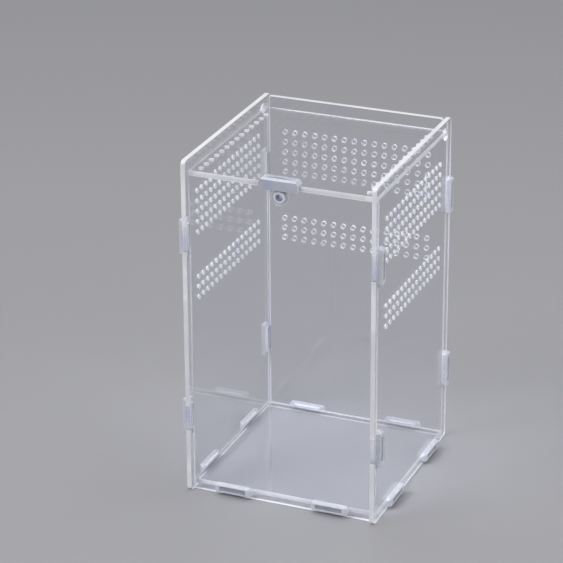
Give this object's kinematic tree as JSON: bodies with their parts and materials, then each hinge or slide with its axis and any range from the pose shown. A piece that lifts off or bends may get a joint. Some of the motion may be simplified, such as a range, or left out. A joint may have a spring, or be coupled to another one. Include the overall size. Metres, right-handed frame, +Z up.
{
  "type": "acrylic terrarium",
  "caption": "Tall clear acrylic terrarium of slotted sheets with press-on caps, ventilation holes and a rear-hinged flip lid held by a latch cap.",
  "frame": {"origin": "on the ground, under the centre of the box", "axes": "+Z up, +Y to the back where the lid is hinged, +X to the right seen from the front"},
  "size_m": [0.1326, 0.134, 0.223],
  "materials": {
    "clear_acrylic": "polished clear sheet with bright laser-cut edges",
    "milky_plastic": "translucent milky moulded plastic",
    "soft_grommet": "translucent soft silicone"
  },
  "bodies": {
    "tank": {"back_panel": "clear_acrylic", "clip_floor_front_left": "milky_plastic", "clip_floor_front_right": "milky_plastic", "clip_floor_left_front": "milky_plastic", "clip_floor_left_rear": "milky_plastic", "clip_floor_rear_left": "milky_plastic", "clip_floor_rear_right": "milky_plastic", "clip_floor_right_front": "milky_plastic", "clip_floor_right_rear": "milky_plastic", "clip_left_front_lower": "milky_plastic", "clip_left_front_upper": "milky_plastic", "clip_left_rear_lower": "milky_plastic", "clip_left_rear_upper": "milky_plastic", "clip_right_front_lower": "milky_plastic", "clip_right_front_upper": "milky_plastic", "clip_right_rear_lower": "milky_plastic", "clip_right_rear_upper": "milky_plastic", "floor_panel": "clear_acrylic", "front_panel": "clear_acrylic", "left_panel": "clear_acrylic", "port_flange": "clear_acrylic", "port_grommet": "soft_grommet", "right_panel": "clear_acrylic"},
    "lid": {"lid_panel": "clear_acrylic"},
    "latch": {"latch_clip": "milky_plastic"}
  },
  "joints": [
    {"name": "lid_hinge", "type": "hinge", "parent": "tank", "child": "lid", "pos_m": [0, 0.056, 0.2145], "axis": [-1, 0, 0], "range_deg": [0, 105]},
    {"name": "latch_lift", "type": "slide", "parent": "lid", "child": "latch", "axis": [0, 0, 1], "range_m": [0, 0.008]}
  ]
}
